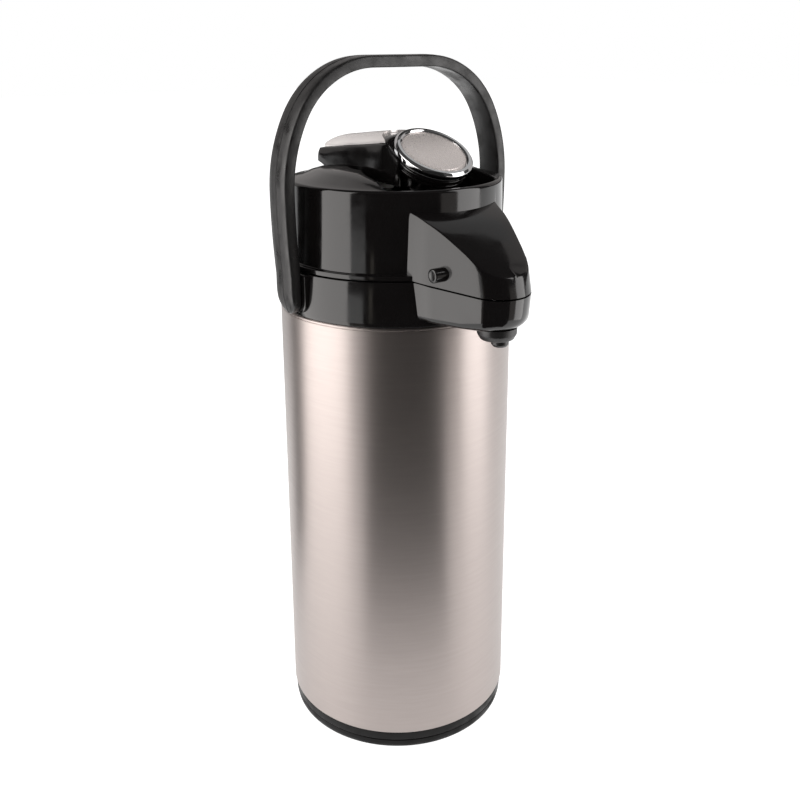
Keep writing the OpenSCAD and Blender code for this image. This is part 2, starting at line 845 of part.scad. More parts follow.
module lever_foot() {
    color(milky)
        translate([0, pump_y, foot_z]) {
            rod_x(foot_r, -7, 7);
            translate([-7, -foot_r, 0]) cube([14, 2 * foot_r, foot_top - foot_z]);
        }
}

module head_screws() {
    color(steel)
        at_head()
            for (s = [-1, 1])
                translate([s * 12, 0, -13]) mirror([0, 0, 1]) screw(1.5, 10, 3.2, 1.4);
}

// ---- Lid release, on the +X side ----

module button_half() {
    translate([0, button_y, button_z]) {
        rod_x(button_r1, flange_x - eps, button_tip);
        rod_x(flange_hr, flange_x - 1.5, flange_x);
        rod_x(2.5, 12, flange_x - 1.5 + eps);
    }
}

module latch_half() {
    difference() {
        translate([flange_x - 1.5, button_y - 3, lid_z0 - 6]) cube([1.5, 6, button_z - lid_z0 + 2]);
        translate([0, button_y, button_z]) rod_x(flange_hr, 0, 40);
    }
    translate([flange_x - eps, button_y - 3, lid_z0 - 6]) cube([1.4, 6, 2.2]);
}

module spring_half() {
    translate([11.3, button_y, button_z]) rotate([0, 90, 0]) coil(3.6, 0.4, 5, flange_x - 13.3, 12, 6);
}

module button_r() {
    color(black) button_half();
}

module button_l() {
    color(black) mirror([1, 0, 0]) button_half();
}

module latch_hook_r() {
    color(black) latch_half();
}

module latch_hook_l() {
    color(black) mirror([1, 0, 0]) latch_half();
}

module button_spring_r() {
    color(steel) spring_half();
}

module button_spring_l() {
    color(steel) mirror([1, 0, 0]) spring_half();
}

base_pad();
base_plate();
slip_ring();
swivel_bolt();
base_cup();
cup_screws();
outer_shell();
shell_bottom();
vacuum_seal();
inner_liner();
collar();
neck_ring();
neck_gasket();
tube_head();
dip_tube();
delivery_pipe();
nozzle_ring();
nozzle_tip();
hinge_pin();
valve_ball();
bail_handle();
bail_washers();
bail_screws();
lid_shell();
lid_base();
lid_seal();
air_valve();
bellows();
bellows_spring();
lid_screws();
lever_pin();
bellows_plate();
push_post();
lever_shell();
lever_inlay();
head_cup();
head_seal();
head_ring();
head_disc();
lever_foot();
head_screws();
button_l();
latch_hook_l();
button_spring_l();
button_r();
latch_hook_r();
button_spring_r();
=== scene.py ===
"""Studio scene of a lever airpot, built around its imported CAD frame.

Shapes are worked out in millimetres in the frame's own axes: the spout points to -Y and +Z is up.
"""
import json
import math

import bmesh
import bpy
from mathutils import Matrix, Vector


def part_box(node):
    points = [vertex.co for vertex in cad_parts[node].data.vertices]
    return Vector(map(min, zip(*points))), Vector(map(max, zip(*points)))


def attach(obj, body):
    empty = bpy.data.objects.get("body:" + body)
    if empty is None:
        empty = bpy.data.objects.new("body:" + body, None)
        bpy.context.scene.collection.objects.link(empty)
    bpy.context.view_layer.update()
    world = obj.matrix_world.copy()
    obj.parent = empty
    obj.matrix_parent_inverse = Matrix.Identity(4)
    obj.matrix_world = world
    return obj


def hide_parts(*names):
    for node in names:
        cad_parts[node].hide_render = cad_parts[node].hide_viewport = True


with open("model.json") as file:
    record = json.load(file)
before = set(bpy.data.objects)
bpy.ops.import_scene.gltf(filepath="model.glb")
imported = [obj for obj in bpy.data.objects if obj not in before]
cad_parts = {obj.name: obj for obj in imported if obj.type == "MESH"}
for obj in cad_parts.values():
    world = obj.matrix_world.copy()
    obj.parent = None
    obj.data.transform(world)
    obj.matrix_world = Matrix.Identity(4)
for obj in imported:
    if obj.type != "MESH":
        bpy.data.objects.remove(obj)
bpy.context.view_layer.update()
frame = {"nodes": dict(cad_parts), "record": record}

MM = 0.001


def span(node):
    """Lowest and highest corner of a CAD node, in millimetres."""
    low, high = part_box(node)
    return Vector(low) / MM, Vector(high) / MM


def middle(node):
    """Y and Z of the middle of a CAD node, in millimetres."""
    low, high = span(node)
    return (low.y + high.y) / 2, (low.z + high.z) / 2


# ---------------------------------------------------------------- sizes, in mm

shell_low, shell_high = span("outer_shell")
BODY_R = shell_high.x
SHELL_Z0 = shell_low.z
SHELL_Z1 = shell_high.z
COLLAR_Z0 = SHELL_Z1 + 0.3
SEAM_Z = span("neck_ring")[0].z - 2.5 + 28.8
LID_Z0 = SEAM_Z + 0.4
RIM_Z = LID_Z0 + 55.2
COLLAR_TOP_R = BODY_R - 2
FLANGE_R = BODY_R - 3
LID_R = BODY_R - 6.5
RIM_R = LID_R - 0.8
CROWN = 9.0
HEAD_Y = -(LID_R - 29.5)
HEAD_Z = RIM_Z + 20.2
HEAD_R = 26.3
HEAD_TILT = math.radians(30)
PIVOT_Z = COLLAR_Z0 + 14.5
PUMP_Y = middle("push_post")[0]
NOSE_Y = -(COLLAR_TOP_R + 49)
HOOD_LOW_Z = SEAM_Z - 25
OUTLET_Y = NOSE_Y + 16
OUTLET_RING_Y = OUTLET_Y + 3
STEEL = 0.7
SHOULDER_HOLE_R = 38
COLLAR_HOLE_R = 38.3
SKIN_WALL = 2.0
HOOD_WALL = 2.4
PIN_BORE_R = 2.0
PIN_LOOSE_R = 2.05
STUD_R = 5.0
STUD_BORE_R = 5.05
HANDLE_T = 8.0
BUTTON_R = 4.45
BUTTON_BORE_R = 4.8
BUTTON_STEM_R = 2.45
BUTTON_FLANGE = (5.4, 19.5, 20.8)
WELL_LIP = 1.2
POST_WELL_R = 8.6
PAD_INSET = 8.2

# Angles in degrees above which an edge stays sharp
SKIN_ANGLE = 40
BLEND_ANGLE = 50


# ---------------------------------------------------------------- mesh helpers

def finish_mesh(obj, angle=35):
    """Closes the mesh up, faces it outwards and smooths it below an angle."""
    bm = bmesh.new()
    bm.from_mesh(obj.data)
    bmesh.ops.remove_doubles(bm, verts=bm.verts, dist=1e-6)
    bmesh.ops.dissolve_degenerate(bm, edges=bm.edges, dist=1e-7)
    bmesh.ops.recalc_face_normals(bm, faces=bm.faces)
    bm.to_mesh(obj.data)
    bm.free()
    obj.data.shade_smooth()
    obj.data.set_sharp_from_angle(angle=math.radians(angle))
    return obj


def new_object(name, points, faces, angle=35):
    mesh = bpy.data.meshes.new(name)
    mesh.from_pydata([tuple(c * MM for c in p) for p in points], [], faces)
    obj = bpy.data.objects.new(name, mesh)
    bpy.context.scene.collection.objects.link(obj)
    return finish_mesh(obj, angle)


def apply_modifiers(obj, angle=35):
    bpy.context.view_layer.update()
    graph = bpy.context.evaluated_depsgraph_get()
    mesh = bpy.data.meshes.new_from_object(obj.evaluated_get(graph))
    old = obj.data
    obj.modifiers.clear()
    obj.data = mesh
    bpy.data.meshes.remove(old)
    return finish_mesh(obj, angle)


def thicken(obj, wall, angle=35):
    """Gives an open skin a wall on its inner side."""
    solid = obj.modifiers.new("wall", "SOLIDIFY")
    solid.thickness = wall * MM
    solid.offset = -1
    return apply_modifiers(obj, angle)


def combine(obj, other, operation, angle=35):
    """Boolean of two closed meshes; the second one is used up."""
    cut = obj.modifiers.new("cut", "BOOLEAN")
    cut.operation = operation
    cut.solver = "MANIFOLD"
    cut.object = other
    apply_modifiers(obj, angle)
    bpy.data.objects.remove(other)
    return obj


def rounded(corners, steps=5):
    """Closed outline with each corner (a, b, radius) rounded by an arc."""
    out = []
    count = len(corners)
    for i, (a, b, radius) in enumerate(corners):
        here = Vector((a, b))
        before = Vector(corners[i - 1][:2]) - here
        after = Vector(corners[(i + 1) % count][:2]) - here
        if radius <= 0:
            out.append((a, b))
            continue
        angle = before.angle(after)
        cut = min(radius / math.tan(angle / 2), 0.48 * before.length, 0.48 * after.length)
        start = here + before.normalized() * cut
        end = here + after.normalized() * cut
        middle = (start + end) / 2
        real = cut * math.tan(angle / 2)
        centre = here + (middle - here).normalized() * (real / math.sin(angle / 2))
        v0 = start - centre
        v1 = end - centre
        turn = math.atan2(v0.x * v1.y - v0.y * v1.x, v0.dot(v1))
        for k in range(steps + 1):
            t = turn * k / steps
            c, s = math.cos(t), math.sin(t)
            out.append((centre.x + c * v0.x - s * v0.y, centre.y + s * v0.x + c * v0.y))
    return out


def lathe(name, profile, centre=(0, 0), segments=160):
    """Closed profile of (radius, height) turned about a vertical axis."""
    points = []
    rings = []
    for radius, height in profile:
        if radius < 1e-6:
            rings.append([len(points)] * segments)
            points.append((centre[0], centre[1], height))
            continue
        rings.append(list(range(len(points), len(points) + segments)))
        for k in range(segments):
            t = 2 * math.pi * k / segments
            points.append((centre[0] + radius * math.cos(t), centre[1] + radius * math.sin(t), height))
    faces = []
    for i, ring in enumerate(rings):
        above = rings[(i + 1) % len(rings)]
        for k in range(segments):
            m = (k + 1) % segments
            quad = list(dict.fromkeys((ring[k], ring[m], above[m], above[k])))
            if len(quad) > 2:
                faces.append(quad)
    return new_object(name, points, faces)


def loft(name, rows, closed_rows=False, caps=(), angle=35):
    """Skin over rows of points; closed_rows joins each row's ends, caps closes 'first' or 'last'."""
    width = len(rows[0])
    points = [p for row in rows for p in row]
    faces = []
    for i in range(len(rows) - 1):
        for k in range(width if closed_rows else width - 1):
            m = (k + 1) % width
            faces.append((i * width + k, i * width + m, (i + 1) * width + m, (i + 1) * width + k))
    if "first" in caps:
        faces.append(tuple(range(width)))
    if "last" in caps:
        base = (len(rows) - 1) * width
        faces.append(tuple(base + k for k in range(width)))
    return new_object(name, points, faces, angle)


def rod_x(name, radius, x0, x1, y, z, bevel=0.4):
    """Rod along X with rounded rims."""
    profile = rounded([(0, x0, 0), (radius, x0, bevel), (radius, x1, bevel), (0, x1, 0)], 3)
    obj = lathe(name, profile, segments=48)
    obj.data.transform(Matrix.Translation((0, y * MM, z * MM)) @ Matrix.Rotation(math.pi / 2, 4, "Y"))
    return finish_mesh(obj)


def add_eye(target, x0, x1, outline, bore_r, y, z):
    """Joins a bored plate to a piece; outline is (y, z) points and the faces are at x0 and x1."""
    x0, x1 = sorted((x0, x1))
    plate = loft("eye", [[(x, a, b) for a, b in outline] for x in (x0, x1)], True, ("first", "last"))
    combine(plate, rod_x("bore", bore_r, x0 - 1, x1 + 1, y, z, 0), "DIFFERENCE")
    combine(target, plate, "UNION", SKIN_ANGLE)


def at_head(obj):
    """Moves a piece made about its own axis to the lever's tilted head."""
    obj.data.transform(Matrix.Translation((0, HEAD_Y * MM, HEAD_Z * MM)) @ Matrix.Rotation(HEAD_TILT, 4, "X"))
    return finish_mesh(obj)


def ease(share):
    """Smooth step of a share, held at 0 and 1."""
    t = min(1, max(0, share))
    return t * t * (3 - 2 * t)


def bent(start, corner, end, t):
    """Point on the curve from start to end that leans to the corner."""
    return start * (1 - t) ** 2 + corner * 2 * t * (1 - t) + end * t * t


def along(points, value):
    """Value at a place on a list of (place, value, ...), by straight lines."""
    points = sorted(points)
    if value <= points[0][0]:
        return points[0][1]
    for (a, va), (b, vb) in zip(points, points[1:]):
        if value <= b:
            return va + (vb - va) * (value - a) / (b - a)
    return points[-1][1]


def smooth_along(points, value):
    """Value on a smooth curve through (place, value) points."""
    points = sorted(points)
    n = len(points)
    slopes = []
    for i in range(n):
        a = points[max(i - 1, 0)]
        b = points[min(i + 1, n - 1)]
        slopes.append((b[1] - a[1]) / (b[0] - a[0]))
    if value <= points[0][0]:
        return points[0][1] + slopes[0] * (value - points[0][0])
    for i in range(n - 1):
        x0, y0 = points[i]
        x1, y1 = points[i + 1]
        if value <= x1:
            h = x1 - x0
            t = (value - x0) / h
            return (y0 * (1 + 2 * t) * (1 - t) ** 2 + slopes[i] * h * t * (1 - t) ** 2
                    + y1 * t * t * (3 - 2 * t) + slopes[i + 1] * h * t * t * (t - 1))
    return points[-1][1] + slopes[-1] * (value - points[-1][0])


# ---------------------------------------------------------------- materials

def node_material(name, colour, roughness, metallic=0.0):
    material = bpy.data.materials.new(name)
    material.use_nodes = True
    shader = material.node_tree.nodes["Principled BSDF"]
    shader.inputs["Base Color"].default_value = (*colour, 1)
    shader.inputs["Roughness"].default_value = roughness
    shader.inputs["Metallic"].default_value = metallic
    return material, material.node_tree, shader


def noise(tree, scale, detail=3, stretch=None, turned=False):
    """Noise in the object's own space, stretched by a mapping; turned measures it round the body."""
    coords = tree.nodes.new("ShaderNodeTexCoord")
    source = coords.outputs["Object"]
    if turned:
        split = tree.nodes.new("ShaderNodeSeparateXYZ")
        tree.links.new(source, split.inputs[0])
        angle = tree.nodes.new("ShaderNodeMath")
        angle.operation = "ARCTAN2"
        tree.links.new(split.outputs[1], angle.inputs[0])
        tree.links.new(split.outputs[0], angle.inputs[1])
        merge = tree.nodes.new("ShaderNodeCombineXYZ")
        tree.links.new(angle.outputs[0], merge.inputs[0])
        tree.links.new(split.outputs[2], merge.inputs[2])
        source = merge.outputs[0]
    if stretch:
        mapping = tree.nodes.new("ShaderNodeMapping")
        mapping.inputs["Scale"].default_value = stretch
        tree.links.new(source, mapping.inputs["Vector"])
        source = mapping.outputs[0]
    texture = tree.nodes.new("ShaderNodeTexNoise")
    texture.inputs["Scale"].default_value = scale
    texture.inputs["Detail"].default_value = detail
    tree.links.new(source, texture.inputs["Vector"])
    return texture.outputs["Fac"]


def ramp(tree, source, low, high, spread=(0.35, 0.65)):
    """Maps a noise to a range of values."""
    node = tree.nodes.new("ShaderNodeMapRange")
    node.inputs["From Min"].default_value = spread[0]
    node.inputs["From Max"].default_value = spread[1]
    node.inputs["To Min"].default_value = low
    node.inputs["To Max"].default_value = high
    tree.links.new(source, node.inputs["Value"])
    return node.outputs[0]


def tint(tree, source, dark, light):
    """Mixes two colours by a noise."""
    node = tree.nodes.new("ShaderNodeMix")
    node.data_type = "RGBA"
    node.inputs[6].default_value = (*dark, 1)
    node.inputs[7].default_value = (*light, 1)
    tree.links.new(source, node.inputs[0])
    return node.outputs[2]


def bump(tree, shader, source, strength, distance):
    node = tree.nodes.new("ShaderNodeBump")
    node.inputs["Strength"].default_value = strength
    node.inputs["Distance"].default_value = distance
    tree.links.new(source, node.inputs["Height"])
    tree.links.new(node.outputs[0], shader.inputs["Normal"])


def moulded_plastic(name, colour, gloss, dust=0.02, grain=0.0, index=1.5):
    """Moulded plastic: slow ripple, faint scuffs and a little dust."""
    material, tree, shader = node_material(name, colour, gloss)
    shader.inputs["IOR"].default_value = index
    scuffs = noise(tree, 90, 6)
    tree.links.new(ramp(tree, scuffs, gloss * 0.75, gloss * 1.5), shader.inputs["Roughness"])
    light = tuple(min(1, c + dust) for c in colour)
    specks = ramp(tree, noise(tree, 700, 4), 0, 0.6, (0.55, 0.8))
    tree.links.new(tint(tree, specks, colour, light), shader.inputs["Base Color"])
    if grain:
        bump(tree, shader, noise(tree, 2600, 3), grain, 0.0001)
    else:
        bump(tree, shader, noise(tree, 35, 2), 0.06, 0.0004)
    return material


def brushed_steel(name, colour, roughness, anisotropy):
    """Steel brushed in fine lines that run round the body."""
    material, tree, shader = node_material(name, colour, roughness, 1.0)
    shader.inputs["Anisotropic"].default_value = anisotropy
    shader.inputs["Anisotropic Rotation"].default_value = 0.25
    tangent = tree.nodes.new("ShaderNodeTangent")
    tangent.direction_type = "RADIAL"
    tangent.axis = "Z"
    tree.links.new(tangent.outputs[0], shader.inputs["Tangent"])
    fine = noise(tree, 1, 4, (1.2, 1, 5200), turned=True)
    broad = noise(tree, 1, 3, (2.5, 1, 420), turned=True)
    cloud = noise(tree, 6, 3)
    tree.links.new(ramp(tree, fine, roughness * 0.9, roughness * 1.1), shader.inputs["Roughness"])
    dark = tuple(c * 0.96 for c in colour)
    light = tuple(min(1, c * 1.03) for c in colour)
    both = tree.nodes.new("ShaderNodeMath")
    both.operation = "MULTIPLY_ADD"
    both.inputs[1].default_value = 0.5
    tree.links.new(broad, both.inputs[0])
    half = tree.nodes.new("ShaderNodeMath")
    half.operation = "MULTIPLY"
    half.inputs[1].default_value = 0.5
    tree.links.new(cloud, half.inputs[0])
    tree.links.new(half.outputs[0], both.inputs[2])
    tree.links.new(tint(tree, ramp(tree, both.outputs[0], 0, 1), dark, light), shader.inputs["Base Color"])
    bump(tree, shader, fine, 0.05, 0.00002)
    return material


def plain_metal(name, colour, roughness, scale=220, metallic=1.0):
    """Metal with a faint mottle in its roughness and surface, and a faint cloud in its tone."""
    material, tree, shader = node_material(name, colour, roughness, metallic)
    mottle = noise(tree, scale, 5)
    tree.links.new(ramp(tree, mottle, roughness * 0.7, roughness * 1.4), shader.inputs["Roughness"])
    dark = tuple(c * 0.94 for c in colour)
    cloud = ramp(tree, noise(tree, 40, 4), 0, 1)
    tree.links.new(tint(tree, cloud, dark, colour), shader.inputs["Base Color"])
    bump(tree, shader, mottle, 0.05, 0.00005)
    return material


def soft_rubber(name, colour, roughness):
    """Rubber or silicone with a matt, slightly uneven skin."""
    material, tree, shader = node_material(name, colour, roughness)
    skin = noise(tree, 900, 4)
    tree.links.new(ramp(tree, skin, roughness * 0.85, roughness * 1.15), shader.inputs["Roughness"])
    light = tuple(min(1, c * 1.25 + 0.01) for c in colour)
    cloud = ramp(tree, noise(tree, 60, 4), 0, 1)
    tree.links.new(tint(tree, cloud, colour, light), shader.inputs["Base Color"])
    bump(tree, shader, skin, 0.2, 0.0001)
    return material


MATERIALS = {
    "black_gloss": moulded_plastic("black_gloss", (0.0035, 0.0030, 0.0030), 0.10, 0.003),
    "black_base": moulded_plastic("black_base", (0.004, 0.0036, 0.0036), 0.4, 0.003, 0.15, 1.25),
    "black_matte": moulded_plastic("black_matte", (0.006, 0.0055, 0.0055), 0.36, 0.006, 0.15),
    "brushed_steel": brushed_steel("brushed_steel", (0.37, 0.327, 0.311), 0.40, 0.65),
    "plain_steel": plain_metal("plain_steel", (0.62, 0.60, 0.58), 0.28),
    "bright_trim": plain_metal("bright_trim", (0.86, 0.86, 0.87), 0.06, 120),
    "satin_disc": plain_metal("satin_disc", (0.86, 0.79, 0.76), 0.34, 1500, 0.8),
    "bright_cover": plain_metal("bright_cover", (0.95, 0.90, 0.88), 0.18, 300, 0.6),
    "rubber": soft_rubber("rubber", (0.022, 0.022, 0.023), 0.7),
    "silicone": soft_rubber("silicone", (0.72, 0.72, 0.68), 0.5),
    "white_plastic": moulded_plastic("white_plastic", (0.74, 0.73, 0.69), 0.4, 0.03, 0.1),
}


def dress(obj, slot):
    obj.data.materials.clear()
    obj.data.materials.append(MATERIALS[slot])


def place(obj, body, slot, *nodes):
    """Gives a finished piece its body and its material, and hides the CAD nodes it stands for."""
    dress(obj, slot)
    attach(obj, body)
    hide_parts(*nodes)


# ---------------------------------------------------------------- stand and flask

def make_base():
    plate_top = span("base_plate")[1].z
    r = BODY_R - 1.2
    plate = lathe("turntable_plate", rounded([
        (0, 1.6, 0), (BODY_R - PAD_INSET, 1.6, 0.2), (BODY_R - 8.0, 0.5, 0.4), (r - 0.6, 0.5, 1.0),
        (r, 3, 2), (r, plate_top, 0.5), (0, plate_top, 0)]))
    place(plate, "stand", "black_matte", "base_plate")
    dress(plate, "black_base")
    low = span("base_cup")[0].z
    r = BODY_R - 0.9
    cup = lathe("base_ring", rounded([
        (r - 6, low + 2, 0), (r - 4, low, 0.5), (r, low, 0.8), (r + 0.2, SHELL_Z0, 0.15),
        (BODY_R - 1.0, SHELL_Z0, 0), (BODY_R - 1.0, SHELL_Z0 + 3, 0.3), (BODY_R - 3, SHELL_Z0 + 3, 0.3),
        (BODY_R - 4, low + 4.1, 1), (6.1, low + 4.1, 0), (6.1, low + 2, 0)]))
    place(cup, "flask", "black_matte", "base_cup")
    dress(cup, "black_base")


def make_shell():
    """Steel body with a rolled foot, a rolled lip at the top and its shoulder."""
    shell = lathe("steel_body", rounded([
        (BODY_R - STEEL, SHELL_Z0, 0), (BODY_R - 0.25, SHELL_Z0, 0.25), (BODY_R, SHELL_Z0 + 0.6, 0.3),
        (BODY_R, SHELL_Z1 - 2.2, 0), (BODY_R - 0.35, SHELL_Z1 - 1.9, 0.1), (BODY_R, SHELL_Z1 - 1.5, 0.2),
        (BODY_R, SHELL_Z1 - 0.7, 0.5), (BODY_R - 0.9, SHELL_Z1, 0.4),
        (SHOULDER_HOLE_R, SHELL_Z1, 0), (SHOULDER_HOLE_R, SHELL_Z1 - STEEL, 0),
        (BODY_R - STEEL, SHELL_Z1 - STEEL, 0.3)]), segments=256)
    place(shell, "flask", "brushed_steel", "outer_shell")


# ---------------------------------------------------------------- spout hood

# Half widths of the hood along its length, at the seam and at its top edge
SEAM_SIDE = [(-60, 36.4), (-70, 36), (-94, 27.6), (-117, 19.2)]
CREST_SIDE = [(-58, 36), (-66.5, 34.6), (-76, 31.5), (-93, 25.7), (-113.5, 18.9)]
CREST_HEIGHT = [(-58, RIM_Z - 10.6), (-66.5, RIM_Z - 13.4), (-76, RIM_Z - 17.2), (-86.5, RIM_Z - 22.2),
                (-100, RIM_Z - 30.8), (-113.5, RIM_Z - 40.4), (-119, RIM_Z - 44.6), (-125, RIM_Z - 48.2)]
SIDE_STEPS = 26
NOSE_STEPS = 18


def side_and_nose(side, corner_y, tip_y, root_y):
    """Half plan outline from the root to the nose's tip, as (x, y) points on the +X side."""
    half = smooth_along(side, corner_y)
    out = []
    for i in range(SIDE_STEPS + 1):
        y = root_y + (corner_y - root_y) * i / SIDE_STEPS
        out.append((smooth_along(side, y), y))
    sag = corner_y - tip_y
    radius = (half * half + sag * sag) / (2 * sag)
    whole = math.asin(half / radius)
    for i in range(1, NOSE_STEPS + 1):
        t = whole * (1 - i / NOSE_STEPS)
        out.append((radius * math.sin(t), tip_y + radius - radius * math.cos(t)))
    return out


def soften(outline, passes=3):
    """Eases the corner between side and nose; the root's first points stay where they are."""
    start = 4
    points = list(outline)
    for _ in range(passes):
        points = (points[:start]
                  + [((a[0] + 2 * b[0] + c[0]) / 4, (a[1] + 2 * b[1] + c[1]) / 4)
                     for a, b, c in zip(points[start - 1:], points[start:], points[start + 1:])]
                  + [(0, (points[-2][1] + points[-1][1]) / 2)])
    return points


def fillet_rows(a, corner, b, cut_a, cut_b, steps):
    """Points from a to b round a corner, with straight runs before and after it."""
    a, corner, b = Vector(a), Vector(corner), Vector(b)
    la = (a - corner).length
    lb = (b - corner).length
    p = corner + (a - corner) * min(cut_a / la, 0.9)
    q = corner + (b - corner) * min(cut_b / lb, 0.9)
    return [tuple(bent(p, corner, q, k / steps)) for k in range(steps + 1)]


def dip(y):
    """How far the parting line drops towards the nose."""
    return 0.075 * max(0, -y - 71)


def top_height(x, y, half):
    """Height of the hood's top, with a slight crown across it."""
    return smooth_along(CREST_HEIGHT, y) + 1.6 * (1 - min(1, abs(x) / max(half, 1)) ** 2)


def mirrored_rows(columns):
    """Turns columns on the +X side, root to tip, into rows that run across both sides."""
    left = [[(-x, y, z) for x, y, z in column] for column in columns[:-1]]
    return columns + left[::-1]


def wall_y(x, radius):
    return -math.sqrt(max(radius * radius - x * x, 0))


def make_upper_hood():
    root = LID_R - 1.6
    low = soften(side_and_nose(SEAM_SIDE, -117, NOSE_Y + 0.2, -62))
    top = soften(side_and_nose(CREST_SIDE, -113.5, NOSE_Y + 2.6, -62), 6)
    tail = []
    for i in range(len(low)):
        if i <= SIDE_STEPS:
            u = i / SIDE_STEPS
            tail.append(-(root + (110 - root) * u ** 1.15))
        else:
            tail.append(-110 - 7 * math.sin(math.pi / 2 * (i - SIDE_STEPS) / NOSE_STEPS))
    columns = []
    for i, (b, c) in enumerate(zip(low, top)):
        nose = ease((i - SIDE_STEPS * 0.8) / (NOSE_STEPS * 0.8))
        fade = max(0, 1 - i / 8)
        b3 = [b[0], b[1], LID_Z0 + 0.3 - dip(b[1])]
        c3 = [c[0], c[1], smooth_along(CREST_HEIGHT, c[1])]
        d3 = [0, tail[i], top_height(0, tail[i], 20)]
        if fade:
            b3[1] += (wall_y(b3[0], root) - b3[1]) * fade
            c3[1] += (wall_y(c3[0], root) - c3[1]) * fade
            c3[2] = smooth_along(CREST_HEIGHT, c3[1])
        inner = (c3[0] * 0.9, c3[1] + (d3[1] - c3[1]) * 0.1)
        inner3 = (inner[0], inner[1], top_height(inner[0], inner[1], c3[0]))
        cut = 1.1 + 5.6 * nose
        side_cut = min(cut, 0.6 * (Vector(b3) - Vector(c3)).length)
        side_end = Vector(c3) + (Vector(b3) - Vector(c3)).normalized() * side_cut
        column = [tuple(Vector(b3) + (side_end - Vector(b3)) * k / 7) for k in range(8)]
        top_cut = min(cut, 0.9 * (Vector(inner3) - Vector(c3)).length)
        column += fillet_rows(b3, c3, inner3, side_cut, top_cut, 6)[1:]
        for k in range(1, 13):
            t = 0.1 + 0.9 * k / 12
            x = c3[0] * (1 - t)
            y = c3[1] + (d3[1] - c3[1]) * t
            y += (wall_y(x, root) - y) * fade if fade else 0
            column.append((x, y, top_height(x, y, c3[0])))
        columns.append(column)
    rows = mirrored_rows(columns)
    skin = loft("upper_hood", rows, angle=BLEND_ANGLE)
    return thicken(skin, HOOD_WALL, BLEND_ANGLE)


def make_lower_hood():
    root = COLLAR_TOP_R - 1.8
    low = soften(side_and_nose(SEAM_SIDE, -117, NOSE_Y + 0.2, -66))
    columns = []
    for i, (x0, y0) in enumerate(low):
        nose = min(1, max(0, (i - SIDE_STEPS * 0.7) / (NOSE_STEPS * 0.8)))
        fade = max(0, 1 - i / 8)
        if fade:
            y0 += (wall_y(x0, root) - y0) * fade
        pull = 4.5 + 4.5 * nose
        lift = 4.5 + 4.5 * nose
        lean = 0.8 + 1.2 * nose
        if i <= SIDE_STEPS:
            away = Vector((1, -0.25 * i / SIDE_STEPS))
        else:
            away = Vector((x0, y0 + 100))
        away = Vector((away.x, away.y)).normalized()
        side_low = Vector((x0 - away.x * lean, y0 - away.y * lean, HOOD_LOW_Z))
        floor = Vector((x0 - away.x * (lean + pull + 3), y0 - away.y * (lean + pull + 3), HOOD_LOW_Z))
        top = Vector((x0, y0, SEAM_Z - 0.4 - dip(y0)))
        bend = side_low + (top - side_low).normalized() * lift
        column = [tuple(top + (bend - top) * k / 6) for k in range(7)]
        edge = side_low + (floor - side_low).normalized() * pull
        column += [tuple(bent(bend, side_low, edge, k / 7)) for k in range(1, 8)]
        spine_y = -106 - 5 * (i - SIDE_STEPS) / NOSE_STEPS
        if i <= SIDE_STEPS:
            spine_y = -(root + (106 - root) * i / SIDE_STEPS)
        for k in range(1, 7):
            t = k / 6
            x = edge.x * (1 - t)
            y = edge.y + (spine_y - edge.y) * t
            y += (wall_y(x, root) - y) * fade if fade else 0
            column.append((x, y, HOOD_LOW_Z))
        columns.append(column)
    rows = mirrored_rows(columns)
    skin = loft("lower_hood", rows, angle=BLEND_ANGLE)
    return thicken(skin, HOOD_WALL, BLEND_ANGLE)


# ---------------------------------------------------------------- collar

def make_pad(sign):
    """Flat pad on the collar's side that the handle's end turns on."""
    half, corner = 14, 8
    low, high = PIVOT_Z - 12, SEAM_Z - 0.2
    outline = rounded([(-half, high, 0.8), (half, high, 0.8), (half, low, corner), (-half, low, corner)], 8)
    outer = BODY_R + 0.7
    rows = []
    for x, shrink in ((BODY_R - 4, 0), (outer - 0.6, 0), (outer - 0.2, 0.15), (outer, 0.7)):
        rows.append([(sign * x, y * (1 - shrink / half), z + (shrink if z < PIVOT_Z else -shrink) * 0.9)
                     for y, z in outline])
    return loft("pad", rows, True, ("first", "last"))


def make_collar():
    z0, z1 = COLLAR_Z0, SEAM_Z
    collar = lathe("collar_body", rounded([
        (COLLAR_HOLE_R, z0, 0), (BODY_R - 0.1, z0, 0.5), (BODY_R - 0.1, z0 + 2.4, 1.0),
        (COLLAR_TOP_R + 0.1, z1 - 0.2, 0.5), (COLLAR_TOP_R - 3, z1 - 0.2, 0.5),
        (BODY_R - 3.2, z0 + 2.5, 1.5), (COLLAR_HOLE_R, z0 + 2.5, 0.4)]), segments=224)
    hood = make_lower_hood()
    combine(collar, hood, "UNION", SKIN_ANGLE)
    for sign in (-1, 1):
        combine(collar, make_pad(sign), "UNION", SKIN_ANGLE)
    # The way through the wall for the delivery pipe
    low = HOOD_LOW_Z + 4
    outline = rounded([(-17, low, 2), (17, low, 2), (17, z1 + 5, 0), (-17, z1 + 5, 0)], 4)
    way = loft("way", [[(x, y, z) for x, z in outline] for y in (-BODY_R - 3, -BODY_R + 8)],
               True, ("first", "last"))
    combine(collar, way, "DIFFERENCE", SKIN_ANGLE)
    for sign in (-1, 1):
        x0, x1 = sorted((sign * 71, sign * 90))
        combine(collar, rod_x("bore", STUD_BORE_R, x0, x1, 0, PIVOT_Z, 0), "DIFFERENCE", SKIN_ANGLE)
    y, z = middle("hinge_pin")
    for sign in (-1, 1):
        outline = rounded([(y - 9, z - 17, 0), (y - 5.4, z - 17, 0.5), (y - 3, z - 12, 2),
                           (y + 4.5, z - 3, 3), (y + 4.5, z + 4.5, 4.2), (y - 4.5, z + 4.5, 4.2),
                           (y - 4.5, z - 1.5, 0.5), (y - 9, z - 2.5, 0)], 6)
        add_eye(collar, sign * 11.9, sign * 18.4, outline, PIN_BORE_R, y, z)
    place(collar, "flask", "black_gloss", "collar")


